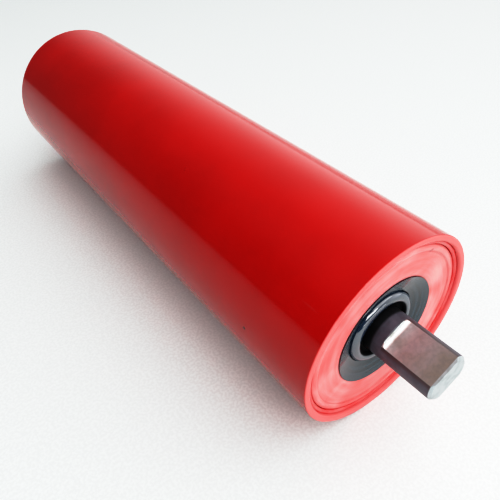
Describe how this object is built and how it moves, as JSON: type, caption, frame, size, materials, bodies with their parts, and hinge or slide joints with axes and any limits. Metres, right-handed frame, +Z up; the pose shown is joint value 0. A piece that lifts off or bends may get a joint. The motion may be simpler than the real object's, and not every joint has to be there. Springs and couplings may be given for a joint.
{
  "type": "conveyor roller",
  "caption": "Red painted steel conveyor idler roller with a pressed bearing housing and black labyrinth seal in each end, on a fixed steel shaft with flats.",
  "frame": {"origin": "the middle of the roller, on its axis", "axes": "+Y along the roller's axis from end a to end b, +Z up as the roller lies, with the shaft's flats turned 28 degrees from level"},
  "size_m": [0.089, 0.349, 0.089],
  "materials": {
    "red_paint": "gloss red paint",
    "shaft_steel": "dark drawn bar with milled flats",
    "bearing_steel": "ground",
    "cage_nylon": "natural nylon",
    "seal_plastic": "moulded black",
    "collar_plastic": "moulded dark grey",
    "spring_steel": "phosphated"
  },
  "bodies": {
    "shaft": {"shaft": "shaft_steel", "bearing_inner_ring_a": "bearing_steel", "bearing_inner_ring_b": "bearing_steel", "labyrinth_inner_a": "collar_plastic", "labyrinth_inner_b": "collar_plastic", "circlip_a": "spring_steel", "circlip_b": "spring_steel"},
    "shell": {"shell_tube": "red_paint", "bearing_housing_a": "red_paint", "bearing_housing_b": "red_paint", "bearing_outer_ring_a": "bearing_steel", "bearing_outer_ring_b": "bearing_steel", "grease_seal_a": "seal_plastic", "grease_seal_b": "seal_plastic", "labyrinth_outer_a": "seal_plastic", "labyrinth_outer_b": "seal_plastic", "dust_cover_a": "seal_plastic", "dust_cover_b": "seal_plastic"},
    "cage_a": {"bearing_cage_a": "cage_nylon", "ball_set_a": "bearing_steel"},
    "cage_b": {"bearing_cage_b": "cage_nylon", "ball_set_b": "bearing_steel"}
  },
  "joints": [
    {"name": "shell_spin", "type": "hinge", "parent": "shaft", "child": "shell", "pos_m": [0, 0, 0], "axis": [0, 1, 0], "continuous": true},
    {"name": "cage_a_spin", "type": "hinge", "parent": "shaft", "child": "cage_a", "pos_m": [0, 0, 0], "axis": [0, 1, 0], "continuous": true},
    {"name": "cage_b_spin", "type": "hinge", "parent": "shaft", "child": "cage_b", "pos_m": [0, 0, 0], "axis": [0, 1, 0], "continuous": true}
  ],
  "couplings": [
    {"joint": "cage_a_spin", "follows": "shell_spin", "ratio": 0.61851},
    {"joint": "cage_b_spin", "follows": "shell_spin", "ratio": 0.61851}
  ]
}
